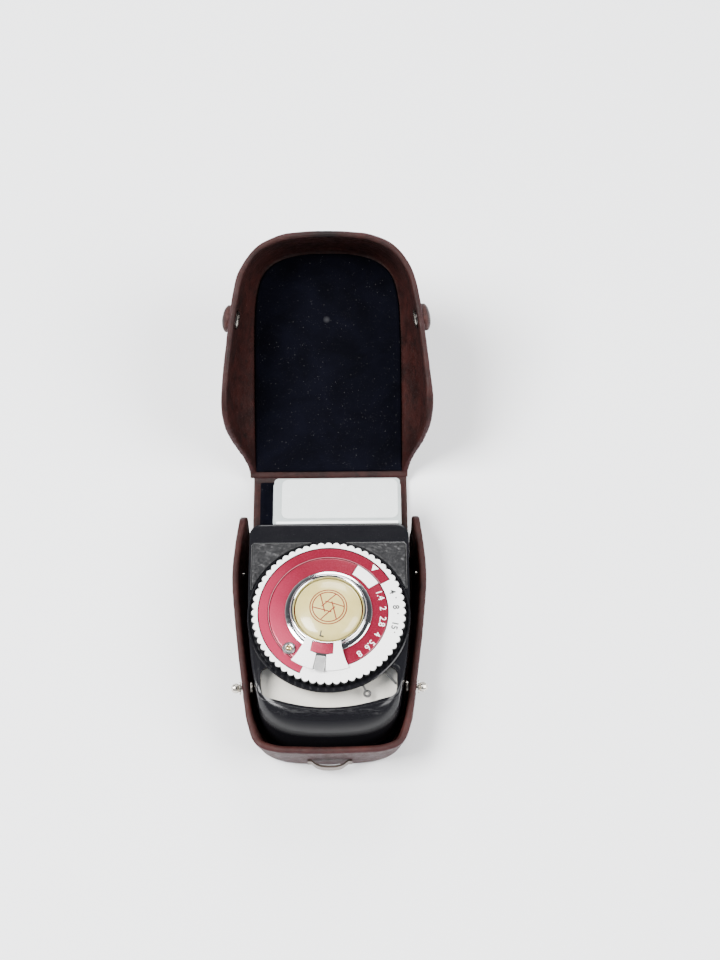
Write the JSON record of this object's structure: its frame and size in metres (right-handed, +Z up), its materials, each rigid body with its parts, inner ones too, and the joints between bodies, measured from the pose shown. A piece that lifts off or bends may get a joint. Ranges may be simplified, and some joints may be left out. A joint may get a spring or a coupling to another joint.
{
  "type": "handheld light meter",
  "caption": "Handheld selenium light meter with a rotating calculator dial, needle window and fold-down diffuser, in an opened leather clamshell case.",
  "frame": {"origin": "on the case's flat underside, straight under the dial's axis", "axes": "+X to the right of the dial, +Y from the dial towards the opened lid, +Z up out of the dial"},
  "size_m": [0.0804, 0.2017, 0.0755],
  "materials": {
    "leather": "satin, worn dark brown leather",
    "lining": "matte black velvet",
    "nickel": "polished nickel",
    "black_enamel": "glossy black",
    "leatherette": "pebbled grey-black",
    "aluminium": "satin white anodised",
    "crimson": "glossy crimson lacquer",
    "chrome": "polished",
    "cream": "glossy cream enamel",
    "card": "matte printed scale",
    "opal": "milk-white, translucent",
    "clear_window": "clear",
    "brass": "machined",
    "steel": "turned",
    "selenium": "dark selenium coating",
    "copper": "enamelled copper winding",
    "magnet": "cast magnet alloy"
  },
  "bodies": {
    "case": {"case_tray": "leather", "tray_lining": "lining", "stud_left": "nickel", "stud_right": "nickel", "stud_washer_left": "nickel", "stud_washer_right": "nickel", "wall_rivet_left": "nickel", "wall_rivet_right": "nickel", "strap_loop": "nickel"},
    "neck": {"case_neck": "leather", "neck_lining": "lining"},
    "lid": {"case_lid": "leather", "lid_lining": "lining", "snap_cap_left": "leather", "snap_cap_right": "leather", "snap_socket_left": "nickel", "snap_socket_right": "nickel"},
    "diffuser": {"diffuser_flap": "opal"},
    "dial_ring": {"knurled_ring": "aluminium", "red_outer_ring": "crimson"},
    "dial_disc": {"red_disc": "crimson", "speed_window_plate": "aluminium", "setting_rivet": "brass", "chrome_bezel": "chrome", "centre_cap": "cream", "index_sector": "aluminium", "index_slider": "chrome"},
    "pointer": {"match_pointer": "black_enamel"},
    "needle_coil": {"needle": "black_enamel", "coil_frame": "copper", "hairspring": "brass"},
    "zero_adjuster": {"zero_screw": "brass"},
    "meter": {"back_cover": "black_enamel", "body_casing": "black_enamel", "cell_frame": "black_enamel", "corner_panel_left": "leatherette", "corner_panel_right": "leatherette", "cover_screw_1": "steel", "cover_screw_2": "steel", "cover_screw_3": "steel", "cover_screw_4": "steel", "dial_bezel": "black_enamel", "dial_spindle": "brass", "flap_hinge_pin": "steel", "honeycomb_grid": "opal", "iron_core": "steel", "magnet_ring": "magnet", "movement_frame": "brass", "photocell": "selenium", "scale_plate": "card", "series_resistor": "card", "spring_washer": "steel", "window_glass": "clear_window"}
  },
  "joints": [
    {"name": "meter_lift", "type": "slide", "parent": "case", "child": "meter", "axis": [0, 0, -1], "range_m": [-0.045, 0]},
    {"name": "neck_fold", "type": "hinge", "parent": "case", "child": "neck", "pos_m": [0, 0.036, 0.006], "axis": [1, 0, 0], "range_deg": [0, 90], "deforming": ["case_neck", "neck_lining"]},
    {"name": "lid_fold", "type": "hinge", "parent": "neck", "child": "lid", "pos_m": [0, 0.0705, 0.003], "axis": [1, 0, 0], "range_deg": [-30, 60]},
    {"name": "diffuser_fold", "type": "hinge", "parent": "meter", "child": "diffuser", "pos_m": [0, 0.036, 0.0269], "axis": [1, 0, 0], "range_deg": [-90, 0]},
    {"name": "ring_turn", "type": "hinge", "parent": "meter", "child": "dial_ring", "pos_m": [0, 0, 0.032], "axis": [0, 0, 1], "range_deg": [-200, 40]},
    {"name": "disc_turn", "type": "hinge", "parent": "dial_ring", "child": "dial_disc", "pos_m": [0, 0, 0.032], "axis": [0, 0, 1], "range_deg": [-60, 60]},
    {"name": "pointer_swing", "type": "hinge", "parent": "meter", "child": "pointer", "pos_m": [0, 0, 0.0248], "axis": [0, 0, 1], "range_deg": [-60, 12]},
    {"name": "needle_swing", "type": "hinge", "parent": "meter", "child": "needle_coil", "pos_m": [0, 0.007, 0.0225], "axis": [0, 0, 1], "range_deg": [-76, 0], "stiffness_Nm_per_rad": 0.0002},
    {"name": "zero_adjust", "type": "hinge", "parent": "meter", "child": "zero_adjuster", "pos_m": [0, 0.007, 0.0045], "axis": [0, 0, 1], "range_deg": [-60, 60]}
  ],
  "couplings": [
    {"joint": "diffuser_fold", "follows": "neck_fold", "ratio": -1},
    {"joint": "pointer_swing", "follows": "ring_turn", "ratio": 0.3}
  ]
}
